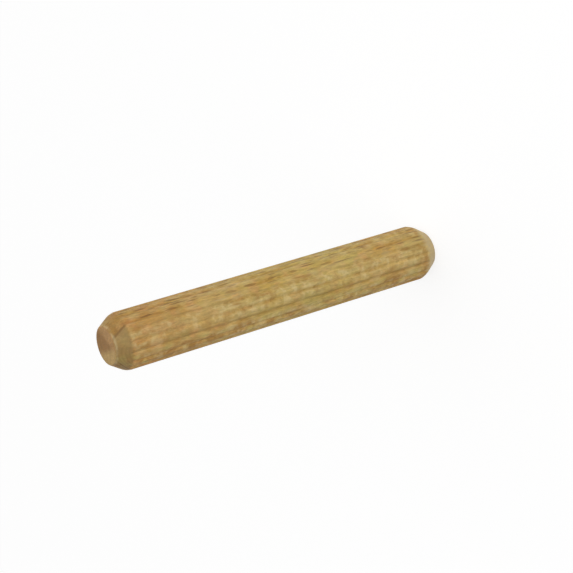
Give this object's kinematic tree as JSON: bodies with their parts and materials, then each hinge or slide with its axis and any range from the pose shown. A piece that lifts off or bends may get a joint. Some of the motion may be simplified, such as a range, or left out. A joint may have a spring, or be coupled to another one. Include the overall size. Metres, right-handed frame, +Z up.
{
  "type": "dowel pin",
  "caption": "Fluted beech dowel pin: a straight round wooden rod with shallow glue flutes along its length and a tapered lead at both ends.",
  "frame": {"origin": "centre of the lower end face, which the pin stands on", "axes": "+Z up along the pin's axis; one flute faces -Y"},
  "size_m": [0.006, 0.006, 0.04],
  "materials": {
    "beech": "matte"
  },
  "bodies": {
    "root": {"dowel_pin": "beech"}
  },
  "joints": []
}
